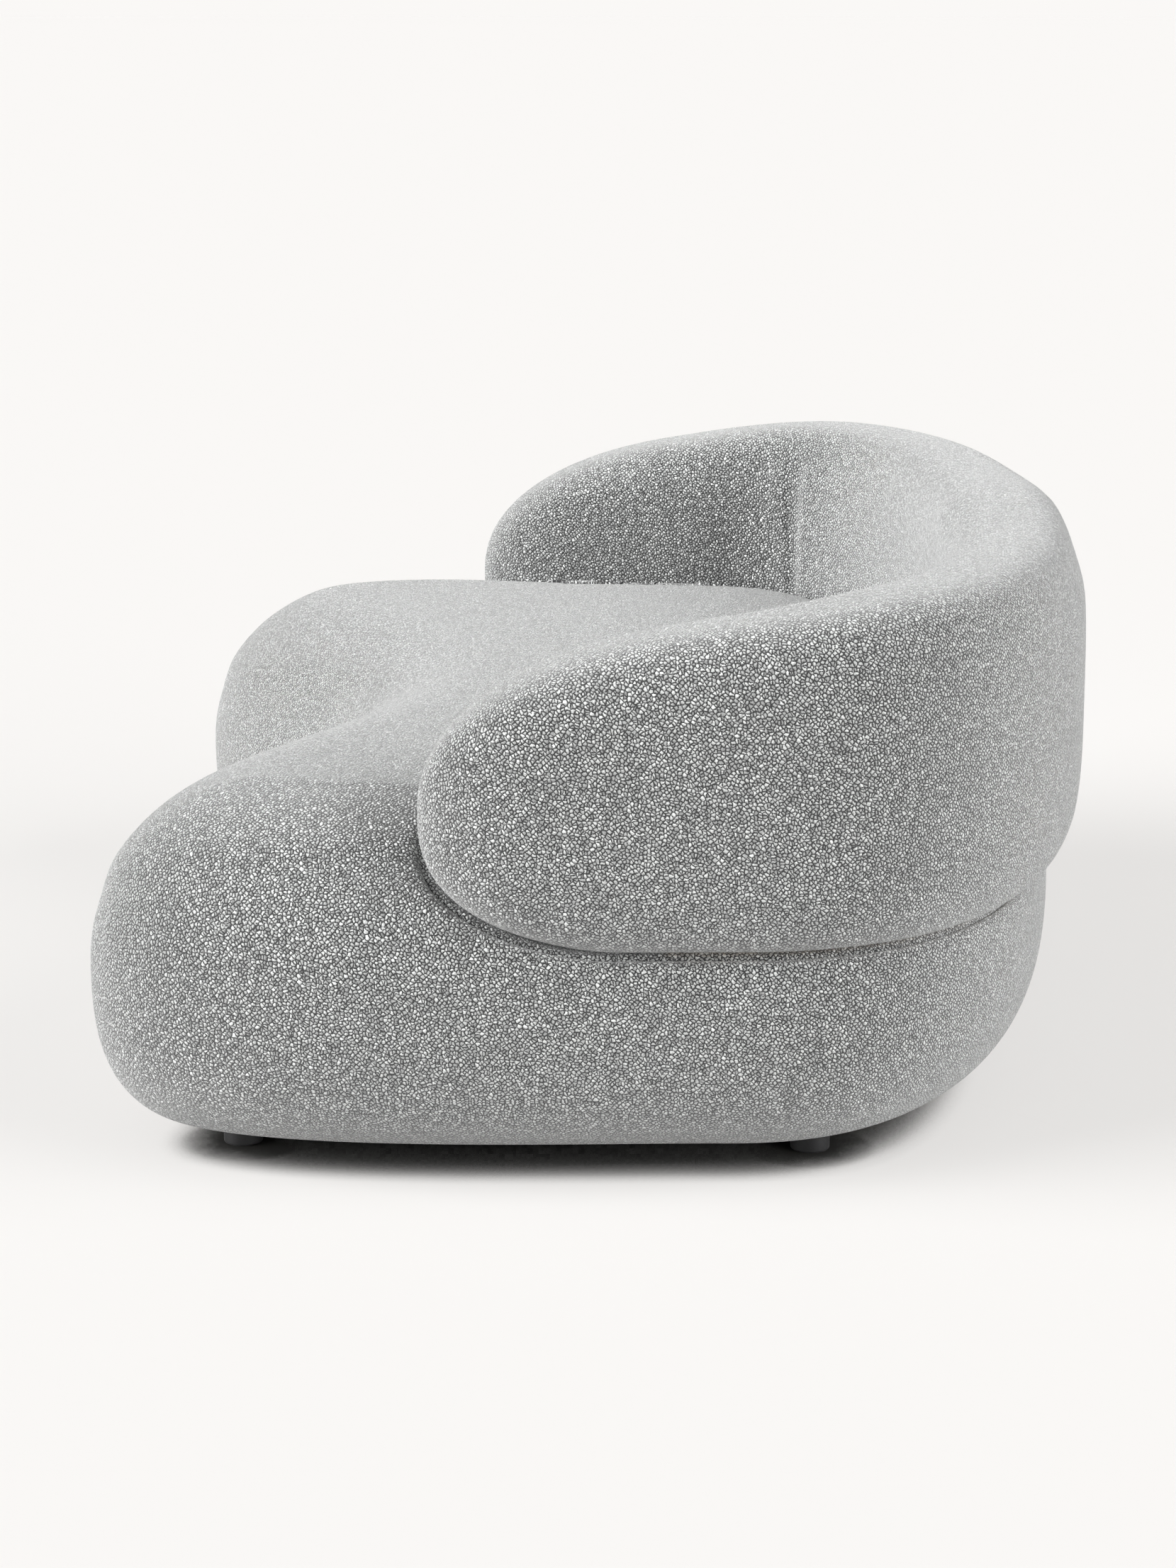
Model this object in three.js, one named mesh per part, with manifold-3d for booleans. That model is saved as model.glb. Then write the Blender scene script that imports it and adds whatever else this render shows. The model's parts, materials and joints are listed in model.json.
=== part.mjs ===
// Curved two-seat sofa: a pebble-shaped seat base with two front lobes, and a wraparound back
// band that rests on a ledge let into the base. Both are foam over a plywood frame, in a tight
// boucle cover. Millimetres, +Z up. The front faces -Y and the floor is z = 0.
import * as THREE from 'three';
import Module from 'manifold-3d';
import { mergeVertices } from 'three/addons/utils/BufferGeometryUtils.js';

const wasm = await Module();
wasm.setup();

// Overall sizes
const overallDepth = 1140;
const flankWidth = 1600;
const seatHeight = 425;
const backHeight = 660;
const armTipHeight = 571;

// Plan of the seat base, one half: where its four curve ends lie and how far each curve runs on
const flankSetback = 711;
const lobeSpacing = 1178;
const hollowDepth = 200;
const rearSweep = 390;
const flankRearSweep = 324;
const flankFrontSweep = 179;
const lobeOuterSweep = 289;
const lobeInnerSweep = 207;
const hollowSweep = 200;

// Side profile of the seat base: rounded under, widest low down, rounded over into the seat
const baseBottom = 30;
const widestHeight = 234;
const undercutReach = 186;
const rearShoulderReach = 150;
const frontShoulderReach = 205;
const seatCrown = 5;
const undercutExponent = 2.8;
const shoulderExponent = 2;

// Back band: an upright rounded section carried round the base from arm tip to arm tip
const bandThickness = 172;
const bandOverhang = 33;
const ledgeHeight = 280;
const bandTrim = 10;
const armTipSetback = 375;
const armEndReach = 298;
const armNoseReach = 129;
const bandExponent = 3.6;
const armEndExponent = 2.44;
const topFallExponent = 3;

// Upholstery and boards
const coverThickness = 4;
const frameSetback = 35;
const ringThickness = 18;
const ribThickness = 18;
const panelThickness = 3;
const topFoamDepth = 45;
const frameLift = 10;
const sideFoamLift = 16;
const fitGap = 0.4;
const overrun = 20;

// Frame of the seat base
const topRingWidth = 140;
const bottomRingInset = 150;
const bottomRingWidth = 90;
const ribReach = 200;
const beamThickness = 30;
const beamHeight = 70;
const beamSpacing = 580;
const beamInset = 215;

// Frame of the back
const railWidth = 90;
const railEndSetback = 262;

// Elastic webbing
const strapWidth = 60;
const strapThickness = 2;
const strapHold = 45;
const crossStrapSpacing = 240;
const longStrapSpacing = 140;
const strapFlatMargin = 6;
const strapRamp = 34;

// Underside
const coverLip = 20;
const dustCoverThickness = 1;
const dustCoverInset = 180;

// Feet and fasteners
const footRadius = 22;
const footEdge = 2;
const footRecessRadius = 8;
const footRecessDepth = 12;
const footInset = 172;
const frontFootInset = 165;
const screwRadius = 3;
const screwHeadRadius = 6;
const screwHeadHeight = 3;
const screwBite = 16;
const boltRadius = 4;
const boltHeadRadius = 8;
const boltHeadHeight = 5.5;
const boltBite = 15;

// Counts
const rearSteps = 5;
const flankSteps = 6;
const hollowSteps = 4;
const undercutSteps = 4;
const shoulderSteps = 4;
const noseSteps = 3;
const armSteps = 18;
const bandPoints = 16;
const sweepSteps = 24;
const pathSteps = 80;
const roundSteps = 12;
const holeSteps = 6;
const crossStrapCount = 5;
const longStrapCount = 3;

// Shares of a size or of a curve: how far the seat's inner ring lies towards the middle line, how
// long that line is, and how much of the undercut is drawn in square to the outline
const seatRingShare = 0.5;
const spineShare = 0.66;
const straightShare = 0.78;
const rearFootShare = 0.72;
const lobeOuterRibShare = 0.62;
const lobeInnerRibShare = 0.2;

// Shares along the band, of the rail's half length
const backRibShares = [-0.96, -0.64, -0.32, 0, 0.32, 0.64, 0.96];
const boltShares = [-0.8, -0.48, -0.16, 0.16, 0.48, 0.8];

// Places worked out from the sizes above
const rearY = overallDepth / 2 - bandOverhang;
const frontY = -overallDepth / 2;
const flankX = flankWidth / 2;
const flankY = frontY + flankSetback;
const lobeX = lobeSpacing / 2;
const hollowY = frontY + hollowDepth;
const spineY = (rearY + hollowY) / 2;
const spineReach = flankX * spineShare;
const straightInset = undercutReach * straightShare;
const bandInset = bandThickness / 2 - bandOverhang;
const bandLow = ledgeHeight - bandTrim;
const cutSpan = flankWidth + overallDepth;
const ringTop = ledgeHeight - fitGap - coverThickness - fitGap;
const ringBottom = ringTop - ringThickness;
const lowerRingBottom = baseBottom + frameLift;
const lowerRingTop = lowerRingBottom + ringThickness;
const strapLift = strapThickness + fitGap;
const seatFoamBottom = ringTop + fitGap + strapLift + strapLift;
const railTop = ledgeHeight + ringThickness;
const ribHalf = railWidth / 2 - panelThickness - fitGap;
const liningGap = coverThickness + fitGap;
const footTop = baseBottom - fitGap;

// Materials
const boucle = new THREE.MeshStandardMaterial({ color: 0x8f9192, roughness: 0.95, metalness: 0 });
const foam = new THREE.MeshStandardMaterial({ color: 0xe6dcb4, roughness: 0.9, metalness: 0 });
const plywood = new THREE.MeshStandardMaterial({ color: 0xc79a63, roughness: 0.65, metalness: 0 });
const hardboard = new THREE.MeshStandardMaterial({ color: 0x7a5230, roughness: 0.7, metalness: 0 });
const webbing = new THREE.MeshStandardMaterial({ color: 0x3a3b3e, roughness: 0.9, metalness: 0 });
const lining = new THREE.MeshStandardMaterial({ color: 0x17181a, roughness: 0.95, metalness: 0 });
const blackPlastic = new THREE.MeshStandardMaterial({ color: 0x121213, roughness: 0.45, metalness: 0 });
const zincSteel = new THREE.MeshStandardMaterial({ color: 0xb9bcc0, roughness: 0.35, metalness: 1 });

// Merges shared corners and drops triangles that have lost their area
function weld(geometry) {
  geometry.deleteAttribute('normal');
  geometry.deleteAttribute('uv');
  const merged = mergeVertices(geometry);
  const corners = merged.index.array;
  const kept = [];
  for (let i = 0; i < corners.length; i += 3) {
    const [a, b, c] = [corners[i], corners[i + 1], corners[i + 2]];
    if (a !== b && b !== c && c !== a) kept.push(a, b, c);
  }
  merged.setIndex(kept);
  return merged;
}

// Six times the signed volume: negative where the faces point in
function signedVolume(points, corners) {
  const at = (i) => new THREE.Vector3().fromArray(points, corners[i] * 3);
  let sum = 0;
  for (let i = 0; i < corners.length; i += 3) {
    sum += at(i).dot(at(i + 1).cross(at(i + 2)));
  }
  return sum;
}

function toSolid(geometry) {
  const closed = weld(geometry);
  const vertProperties = new Float32Array(closed.attributes.position.array);
  const triVerts = new Uint32Array(closed.index.array);
  if (signedVolume(vertProperties, triVerts) < 0) triVerts.reverse();
  return new wasm.Manifold(new wasm.Mesh({ numProp: 3, vertProperties, triVerts }));
}

function toGeometry(solid) {
  const mesh = solid.getMesh();
  const geometry = new THREE.BufferGeometry();
  geometry.setAttribute('position', new THREE.Float32BufferAttribute(mesh.vertProperties, 3));
  geometry.setIndex(Array.from(mesh.triVerts));
  geometry.computeVertexNormals();
  return geometry;
}

// One closed body through rings of equal point count, each end closed by a fan to its middle
function skinRings(rings) {
  const count = rings[0].length;
  const points = rings.flat();
  const corners = [];
  for (let r = 0; r + 1 < rings.length; r++) {
    for (let i = 0; i < count; i++) {
      const near = r * count + i;
      const next = r * count + (i + 1) % count;
      corners.push(near, next, next + count, near, next + count, near + count);
    }
  }
  const last = (rings.length - 1) * count;
  const firstMiddle = points.push(middleOf(rings[0])) - 1;
  const lastMiddle = points.push(middleOf(rings[rings.length - 1])) - 1;
  for (let i = 0; i < count; i++) {
    const next = (i + 1) % count;
    corners.push(firstMiddle, next, i, lastMiddle, last + i, last + next);
  }
  const geometry = new THREE.BufferGeometry().setFromPoints(points);
  geometry.setIndex(corners);
  return toSolid(geometry);
}

function middleOf(ring) {
  const sum = ring.reduce((total, point) => total.add(point), new THREE.Vector3());
  return sum.divideScalar(ring.length);
}

// A straight-sided body over a flat outline, with an optional hole that runs the other way round
function prism(outline, low, high, hole) {
  const shape = new THREE.Shape(outline);
  if (hole) shape.holes.push(new THREE.Path(hole.reverse()));
  const geometry = new THREE.ExtrudeGeometry(shape, { depth: high - low, bevelEnabled: false });
  geometry.translate(0, 0, low);
  return toSolid(geometry);
}

function box(sizeX, sizeY, low, high, x, y, turn) {
  const geometry = new THREE.BoxGeometry(sizeX, sizeY, high - low);
  geometry.rotateZ(turn);
  geometry.translate(x, y, (low + high) / 2);
  return toSolid(geometry);
}

// A level cutter wider than the sofa, from one height to another
function slab(low, high) {
  return box(cutSpan, cutSpan, low, high, 0, 0, 0);
}

// A round cutter whose flats, not its corners, lie at the radius
function drill(place, radius, low, high) {
  const corner = radius / Math.cos(Math.PI / holeSteps);
  const geometry = new THREE.CylinderGeometry(corner, corner, high - low, holeSteps);
  geometry.rotateX(Math.PI / 2);
  geometry.translate(place.x, place.y, (low + high) / 2);
  return toSolid(geometry);
}

function drillAll(solid, places, radius, low, high) {
  return places.reduce((body, place) => body.subtract(drill(place, radius, low, high)), solid);
}

// The half outline from the rear centre round the flank and lobe to the hollow, as three curves
const rearPoint = new THREE.Vector2(0, rearY);
const flankPoint = new THREE.Vector2(flankX, flankY);
const lobePoint = new THREE.Vector2(lobeX, frontY);
const hollowPoint = new THREE.Vector2(0, hollowY);
const halfCurves = [
  new THREE.CubicBezierCurve(rearPoint, new THREE.Vector2(rearSweep, rearY),
    new THREE.Vector2(flankX, flankY + flankRearSweep), flankPoint),
  new THREE.CubicBezierCurve(flankPoint, new THREE.Vector2(flankX, flankY - flankFrontSweep),
    new THREE.Vector2(lobeX + lobeOuterSweep, frontY), lobePoint),
  new THREE.CubicBezierCurve(lobePoint, new THREE.Vector2(lobeX - lobeInnerSweep, frontY),
    new THREE.Vector2(hollowSweep, hollowY), hollowPoint),
];

// A place on the outline: its point, and the level direction that points into the sofa
function outlineAt(curve, share) {
  const point = halfCurves[curve].getPoint(share);
  const along = halfCurves[curve].getTangent(share);
  return { point, inward: new THREE.Vector2(along.y, -along.x) };
}

function mirrored(place) {
  const point = new THREE.Vector2(-place.point.x, place.point.y);
  return { point, inward: new THREE.Vector2(-place.inward.x, place.inward.y) };
}

function halfOutline(steps) {
  const places = [];
  steps.forEach((count, curve) => {
    for (let i = 0; i < count; i++) places.push(outlineAt(curve, i / count));
  });
  places.push(outlineAt(halfCurves.length - 1, 1));
  return places;
}

const rightSide = halfOutline([rearSteps, flankSteps, hollowSteps]);
const wholeOutline = [...rightSide, ...rightSide.slice(1, -1).reverse().map(mirrored)];

// The outline drawn in by a depth: square to it at first, then towards the sofa's long middle line
function insetPoint(place, depth) {
  const straight = Math.min(depth, straightInset);
  const point = place.point.clone().addScaledVector(place.inward, straight);
  if (depth > straight) {
    const towards = spinePoint(point).sub(point).normalize();
    point.addScaledVector(towards, depth - straight);
  }
  return point;
}

function spinePoint(point) {
  return new THREE.Vector2(THREE.MathUtils.clamp(point.x, -spineReach, spineReach), spineY);
}

function insetOutline(depth) {
  return wholeOutline.map((place) => insetPoint(place, depth));
}

// Half of a rounded corner: how far it has drawn in and how far it has risen, as shares
function cornerShares(turn, exponent) {
  const inShare = 1 - Math.max(Math.cos(turn), 0) ** (2 / exponent);
  return { inShare, riseShare: Math.sin(turn) ** (2 / exponent) };
}

function undercutRing(turn, inset, grow) {
  const { inShare, riseShare } = cornerShares(turn, undercutExponent);
  const depth = (undercutReach + grow) * inShare - grow + inset;
  const z = widestHeight - (widestHeight - baseBottom + grow) * riseShare;
  return wholeOutline.map((place) => withHeight(insetPoint(place, depth), z));
}

function shoulderRing(turn, grow) {
  const { inShare, riseShare } = cornerShares(turn, shoulderExponent);
  const z = widestHeight + (seatHeight - widestHeight + grow) * riseShare;
  return wholeOutline.map((place) => {
    const reach = shoulderReach(place) + grow;
    return withHeight(insetPoint(place, reach * inShare - grow), z);
  });
}

function shoulderReach(place) {
  const frontShare = (1 + place.inward.y) / 2;
  return THREE.MathUtils.lerp(rearShoulderReach, frontShoulderReach, frontShare);
}

// The seat's top, from the end of the shoulder to the middle line, with its crown
function seatRing(share, grow) {
  const crown = seatCrown * (1 - (1 - share) ** 2);
  return wholeOutline.map((place) => {
    const edge = insetPoint(place, shoulderReach(place));
    return withHeight(edge.lerp(spinePoint(edge), share), seatHeight + grow + crown);
  });
}

function withHeight(point, z) {
  return new THREE.Vector3(point.x, point.y, z);
}

// The whole seat base, grown outwards or, with a negative number, drawn in
function pebble(grow) {
  const rings = [];
  for (let i = undercutSteps; i > 0; i--) {
    rings.push(undercutRing(Math.PI / 2 * i / undercutSteps, 0, grow));
  }
  for (let i = 0; i <= shoulderSteps; i++) {
    rings.push(shoulderRing(Math.PI / 2 * i / shoulderSteps, grow));
  }
  rings.push(seatRing(seatRingShare, grow));
  return skinRings(rings);
}

// The space of the seat base's frame: the undercut drawn in by the foam, then straight up
function frameSpace(clearance) {
  const inset = frameSetback - clearance;
  const rings = [];
  for (let i = undercutSteps; i >= 0; i--) {
    rings.push(undercutRing(Math.PI / 2 * i / undercutSteps, inset, 0));
  }
  rings.push(insetOutline(inset).map((point) => withHeight(point, seatFoamBottom + overrun)));
  return skinRings(rings);
}

// The band's path: the outline drawn in, measured along its length from the rear centre
const pathPlaces = halfOutline([pathSteps, pathSteps, pathSteps]).map((place) => ({
  point: place.point.clone().addScaledVector(place.inward, bandInset),
  inward: place.inward,
  length: 0,
}));
for (let i = 1; i < pathPlaces.length; i++) {
  const step = pathPlaces[i].point.distanceTo(pathPlaces[i - 1].point);
  pathPlaces[i].length = pathPlaces[i - 1].length + step;
}

// The arm ends where the path, past the flank, comes forward to the arm tip's setback
function findArmLength() {
  const tipY = frontY + armTipSetback;
  const end = pathPlaces.findIndex((place) => place.point.y < tipY);
  const [before, after] = [pathPlaces[end - 1], pathPlaces[end]];
  const share = (before.point.y - tipY) / (before.point.y - after.point.y);
  return THREE.MathUtils.lerp(before.length, after.length, share);
}
const armLength = findArmLength();
const railHalf = armLength - railEndSetback;

function pathAt(distance) {
  const reach = Math.abs(distance);
  const end = Math.max(pathPlaces.findIndex((place) => place.length > reach), 1);
  const [before, after] = [pathPlaces[end - 1], pathPlaces[end]];
  const share = (reach - before.length) / (after.length - before.length);
  const place = {
    point: before.point.clone().lerp(after.point, share),
    inward: before.inward.clone().lerp(after.inward, share).normalize(),
  };
  return distance < 0 ? mirrored(place) : place;
}

// The band's half height and middle height at a distance along the path
function bandHeights(distance, grow) {
  const reach = Math.abs(distance);
  const fall = Math.min(reach / armLength, 1) ** topFallExponent;
  const top = THREE.MathUtils.lerp(backHeight, armTipHeight, fall);
  const left = Math.min((armLength + grow - reach) / (armEndReach + grow), 1);
  const fullShare = (1 - (1 - left) ** armEndExponent) ** (1 / armEndExponent);
  return { middle: (top + bandLow) / 2, half: ((top - bandLow) / 2 + grow) * fullShare };
}

function bandRing(distance, grow) {
  const { middle, half } = bandHeights(distance, grow);
  const { point, inward } = pathAt(distance);
  const left = Math.min((armLength + grow - Math.abs(distance)) / (armNoseReach + grow), 1);
  const halfThick = (bandThickness / 2 + grow) * Math.sqrt(1 - (1 - left) ** 2);
  const ring = [];
  for (let i = 0; i < bandPoints; i++) {
    const turn = 2 * Math.PI * i / bandPoints;
    const across = signedPower(Math.cos(turn), 2 / bandExponent);
    const up = signedPower(Math.sin(turn), 2 / bandExponent);
    const corner = point.clone().addScaledVector(inward, halfThick * across);
    ring.push(withHeight(corner, middle + half * up));
  }
  return ring;
}

function signedPower(value, power) {
  return Math.sign(value) * Math.abs(value) ** power;
}

// The whole back band, grown or drawn in, with its underside cut flat where it sits
function band(grow) {
  const rings = bandStations(grow).map((distance) => bandRing(distance, grow));
  return skinRings(rings).subtract(slab(baseBottom, ledgeHeight - grow));
}

// Stations from tip to tip: even along the arms, and closer together round each nose
function bandStations(grow) {
  const straight = armLength - armNoseReach;
  const nose = [];
  for (let i = noseSteps - 1; i > 0; i--) {
    nose.push(straight + (armNoseReach + grow) * Math.cos(Math.PI / 2 * i / noseSteps));
  }
  const stations = nose.map((distance) => -distance).reverse();
  for (let i = 0; i <= armSteps; i++) stations.push(straight * (2 * i / armSteps - 1));
  return [...stations, ...nose];
}

// A rectangular section carried along the path: from one offset across it to another
function sweep(outer, inner, low, high, reach) {
  const rings = [];
  for (let i = 0; i <= sweepSteps; i++) {
    const distance = reach * (2 * i / sweepSteps - 1);
    const { point, inward } = pathAt(distance);
    const near = point.clone().addScaledVector(inward, outer);
    const far = point.clone().addScaledVector(inward, inner);
    const [bottom, top] = [low(distance), high(distance)];
    rings.push([withHeight(near, bottom), withHeight(far, bottom), withHeight(far, top),
      withHeight(near, top)]);
  }
  return skinRings(rings);
}

function topRailTop(distance) {
  const { middle, half } = bandHeights(distance, 0);
  return middle + half - topFoamDepth;
}

// What stands between the two rails: a section carried along the path, cut off under the top rail
function betweenRails(outer, inner) {
  const upright = sweep(outer, inner, () => railTop + fitGap, () => backHeight, railHalf);
  const edge = railWidth / 2 + fitGap;
  const above = sweep(-edge, edge, (distance) => topRailTop(distance) - ringThickness - fitGap,
    () => backHeight + overrun, railHalf + fitGap);
  return upright.subtract(above);
}

const boltPlaces = boltShares.map((share) => pathAt(share * railHalf).point);
const rearCorner = outlineAt(0, rearFootShare);
const lobeTip = outlineAt(1, 1);
const footPlaces = [
  insetPoint(mirrored(rearCorner), footInset),
  insetPoint(outlineAt(0, 0), footInset),
  insetPoint(rearCorner, footInset),
  insetPoint(mirrored(lobeTip), frontFootInset),
  insetPoint(outlineAt(2, 1), footInset),
  insetPoint(lobeTip, frontFootInset),
];

const sofa = new THREE.Group();
sofa.name = 'curved_sofa';

function addPart(name, solid, material, group = sofa) {
  const mesh = new THREE.Mesh(toGeometry(solid), material);
  mesh.name = name;
  group.add(mesh);
  return mesh;
}

// Cover of the seat base: a fabric shell that follows the ledge and ends in a lip underneath
function seatCover() {
  const outside = pebble(0).subtract(band(fitGap));
  const inside = pebble(-coverThickness).subtract(band(fitGap + coverThickness));
  const lipInset = undercutReach + coverLip;
  const opening = prism(insetOutline(lipInset), 0, baseBottom + coverThickness + overrun);
  const shell = outside.subtract(inside).subtract(opening);
  const bolted = drillAll(shell, boltPlaces, boltRadius + fitGap, ringTop, railTop);
  return drillAll(bolted, footPlaces, screwRadius + fitGap, 0, lowerRingTop);
}

// Seat foam on the webbing, and the foam that wraps the frame's edge below it
function seatFoam() {
  const body = pebble(-liningGap).subtract(band(fitGap + liningGap));
  return body.subtract(slab(0, seatFoamBottom));
}

function sideFoam() {
  const above = slab(seatFoamBottom - fitGap, backHeight);
  const below = slab(0, baseBottom + sideFoamLift);
  const body = pebble(-liningGap).subtract(band(fitGap + liningGap));
  return body.subtract(above).subtract(below).subtract(frameSpace(fitGap));
}

// Plywood rings of the seat base
function topRing() {
  const outline = insetOutline(frameSetback);
  const hole = insetOutline(frameSetback + topRingWidth);
  const ring = prism(outline, ringBottom, ringTop, hole);
  return drillAll(ring, boltPlaces, boltRadius + fitGap, ringBottom - overrun, ringTop + overrun);
}

function bottomRing() {
  const outline = insetOutline(bottomRingInset);
  const hole = insetOutline(bottomRingInset + bottomRingWidth);
  const ring = prism(outline, lowerRingBottom, lowerRingTop, hole);
  return drillAll(ring, footPlaces, screwRadius + fitGap, 0, lowerRingTop + overrun);
}

// Upright ribs of the seat base, cut to the undercut's line
function baseRibPlaces() {
  const behind = backRibShares.map((share) => {
    const { point, inward } = pathAt(share * railHalf);
    return { point: point.clone().addScaledVector(inward, -bandInset), inward };
  });
  const lobeCorner = outlineAt(1, lobeOuterRibShare);
  const lobeInside = outlineAt(2, lobeInnerRibShare);
  const hollow = outlineAt(2, 1);
  return [...behind, mirrored(lobeCorner), mirrored(lobeInside), hollow, lobeInside, lobeCorner];
}

function baseRib(place) {
  const middle = place.point.clone().addScaledVector(place.inward, ribReach / 2);
  const plate = box(ribReach, ribThickness, lowerRingTop + fitGap, ringBottom - fitGap,
    middle.x, middle.y, place.inward.angle());
  return plate.intersect(frameSpace(0));
}

function crossBeam(x) {
  const low = lowerRingTop + fitGap;
  const plank = box(beamThickness, overallDepth, low, low + beamHeight, x, 0, 0);
  return plank.intersect(prism(insetOutline(beamInset), 0, ringTop));
}

// A strap along one axis that lifts over every other strap it crosses
function strap(place, alongX, crossings, reach) {
  const stations = [[-reach, 0]];
  const flat = strapWidth / 2 + strapFlatMargin;
  crossings.forEach((crossing) => {
    stations.push([crossing - flat - strapRamp, 0], [crossing - flat, 1]);
    stations.push([crossing + flat, 1], [crossing + flat + strapRamp, 0]);
  });
  stations.push([reach, 0]);
  const rings = stations.map(([along, lift]) => {
    const low = ringTop + fitGap + strapLift * lift;
    return [[-1, 0], [1, 0], [1, 1], [-1, 1]].map(([side, up]) => {
      const across = place + side * strapWidth / 2;
      const z = low + up * strapThickness;
      return alongX ? new THREE.Vector3(along, across, z) : new THREE.Vector3(across, along, z);
    });
  });
  const hold = frameSetback + topRingWidth - strapHold;
  return skinRings(rings).intersect(prism(insetOutline(hold), ringTop, ringTop + overrun));
}

// Places spaced evenly about a middle
function evenPlaces(count, spacing, middle) {
  return Array.from({ length: count }, (_, i) => middle + (i - (count - 1) / 2) * spacing);
}

function addWebbing() {
  const crossPlaces = evenPlaces(crossStrapCount, crossStrapSpacing, 0);
  const longPlaces = evenPlaces(longStrapCount, longStrapSpacing, spineY);
  crossPlaces.forEach((x, i) => {
    const over = longPlaces.filter((_, j) => (i + j) % 2 === 0);
    addPart(`cross_strap_${i + 1}`, strap(x, false, over, overallDepth), webbing);
  });
  longPlaces.forEach((y, j) => {
    const over = crossPlaces.filter((_, i) => (i + j) % 2 === 1);
    addPart(`long_strap_${j + 1}`, strap(y, true, over, flankWidth), webbing);
  });
}

// A black sheet over the lip of the cover, notched round the feet
function dustCover() {
  const high = baseBottom - fitGap;
  const sheet = prism(insetOutline(dustCoverInset), high - dustCoverThickness, high);
  return drillAll(sheet, footPlaces, footRadius + fitGap, 0, baseBottom);
}

// A turned piece from its outline in radius and height
function turned(outline) {
  const points = outline.map(([radius, height]) => new THREE.Vector2(radius, height));
  const geometry = new THREE.LatheGeometry(points, roundSteps);
  geometry.rotateX(Math.PI / 2);
  return toSolid(geometry);
}

function foot() {
  const bore = screwRadius + fitGap;
  return turned([[bore, footTop], [bore, footRecessDepth], [footRecessRadius, footRecessDepth],
    [footRecessRadius, 0], [footRadius - footEdge, 0], [footRadius, footEdge],
    [footRadius, footTop], [bore, footTop]]);
}

function headedFastener(radius, headRadius, headHeight, length) {
  return turned([[0, 0], [headRadius, 0], [headRadius, headHeight], [radius, headHeight],
    [radius, headHeight + length], [0, headHeight + length]]);
}

function addFeet() {
  const headLow = footRecessDepth - fitGap - screwHeadHeight;
  const length = lowerRingBottom + screwBite - headLow - screwHeadHeight;
  footPlaces.forEach((place, i) => {
    const group = new THREE.Group();
    group.position.set(place.x, place.y, 0);
    sofa.add(group);
    addPart(`foot_${i + 1}`, foot(), blackPlastic, group);
    const screw = headedFastener(screwRadius, screwHeadRadius, screwHeadHeight, length);
    addPart(`foot_screw_${i + 1}`, screw, zincSteel, group).position.z = headLow;
  });
}

// Cover of the back band: a fabric shell, open below where the frame sits
function backCover() {
  const edge = railWidth / 2 + fitGap;
  const slot = sweep(-edge, edge, () => baseBottom, () => ledgeHeight + coverThickness + overrun,
    railHalf + fitGap);
  return band(0).subtract(band(-coverThickness)).subtract(slot);
}

function backFoam() {
  const edge = railWidth / 2 + fitGap;
  const space = sweep(-edge, edge, () => baseBottom, (s) => topRailTop(s) + fitGap,
    railHalf + fitGap);
  return band(-liningGap).subtract(space);
}

function backBottomRail() {
  const rail = sweep(-railWidth / 2, railWidth / 2, () => ledgeHeight, () => railTop, railHalf);
  return drillAll(rail, boltPlaces, boltRadius + fitGap, ledgeHeight - overrun, railTop + overrun);
}

function backTopRail() {
  return sweep(-railWidth / 2, railWidth / 2, (s) => topRailTop(s) - ringThickness, topRailTop,
    railHalf);
}

function backRib(share) {
  const { point, inward } = pathAt(share * railHalf);
  const plate = box(railWidth, ribThickness, ledgeHeight, backHeight, point.x, point.y,
    inward.angle());
  return plate.intersect(betweenRails(-ribHalf, ribHalf));
}

function addBolts() {
  const headLow = ringBottom - fitGap - boltHeadHeight;
  const length = ledgeHeight + boltBite - headLow - boltHeadHeight;
  boltPlaces.forEach((place, i) => {
    const bolt = headedFastener(boltRadius, boltHeadRadius, boltHeadHeight, length);
    addPart(`back_bolt_${i + 1}`, bolt, zincSteel).position.set(place.x, place.y, headLow);
  });
}

// Seat base
addPart('seat_cover', seatCover(), boucle);
addPart('seat_foam', seatFoam(), foam);
addPart('side_foam', sideFoam(), foam);
addPart('base_top_ring', topRing(), plywood);
addPart('base_bottom_ring', bottomRing(), plywood);
baseRibPlaces().forEach((place, i) => addPart(`base_rib_${i + 1}`, baseRib(place), plywood));
addPart('cross_beam_left', crossBeam(-beamSpacing / 2), plywood);
addPart('cross_beam_right', crossBeam(beamSpacing / 2), plywood);
addWebbing();
addPart('dust_cover', dustCover(), lining);
addFeet();

// Back band
addPart('back_cover', backCover(), boucle);
addPart('back_foam', backFoam(), foam);
addPart('back_bottom_rail', backBottomRail(), plywood);
addPart('back_top_rail', backTopRail(), plywood);
backRibShares.forEach((share, i) => addPart(`back_rib_${i + 1}`, backRib(share), plywood));
addPart('back_inner_panel', betweenRails(ribHalf + fitGap, railWidth / 2), hardboard);
addPart('back_outer_panel', betweenRails(-railWidth / 2, -ribHalf - fitGap), hardboard);
addBolts();

export default sofa;
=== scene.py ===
# %% [markdown]
# A curved sofa in grey boucle. The frame, its boards, straps and screws come packed from the CAD
# model and stay as they are. This lesson dresses them: it makes the two upholstered covers as
# smooth surfaces, lets cloth simulation pull them tight, softens the foam, turns the feet and
# gives every piece a finish built from nodes.
#
# First the imported model is loaded.

# %% Load the imported sofa
import json
import math

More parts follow.
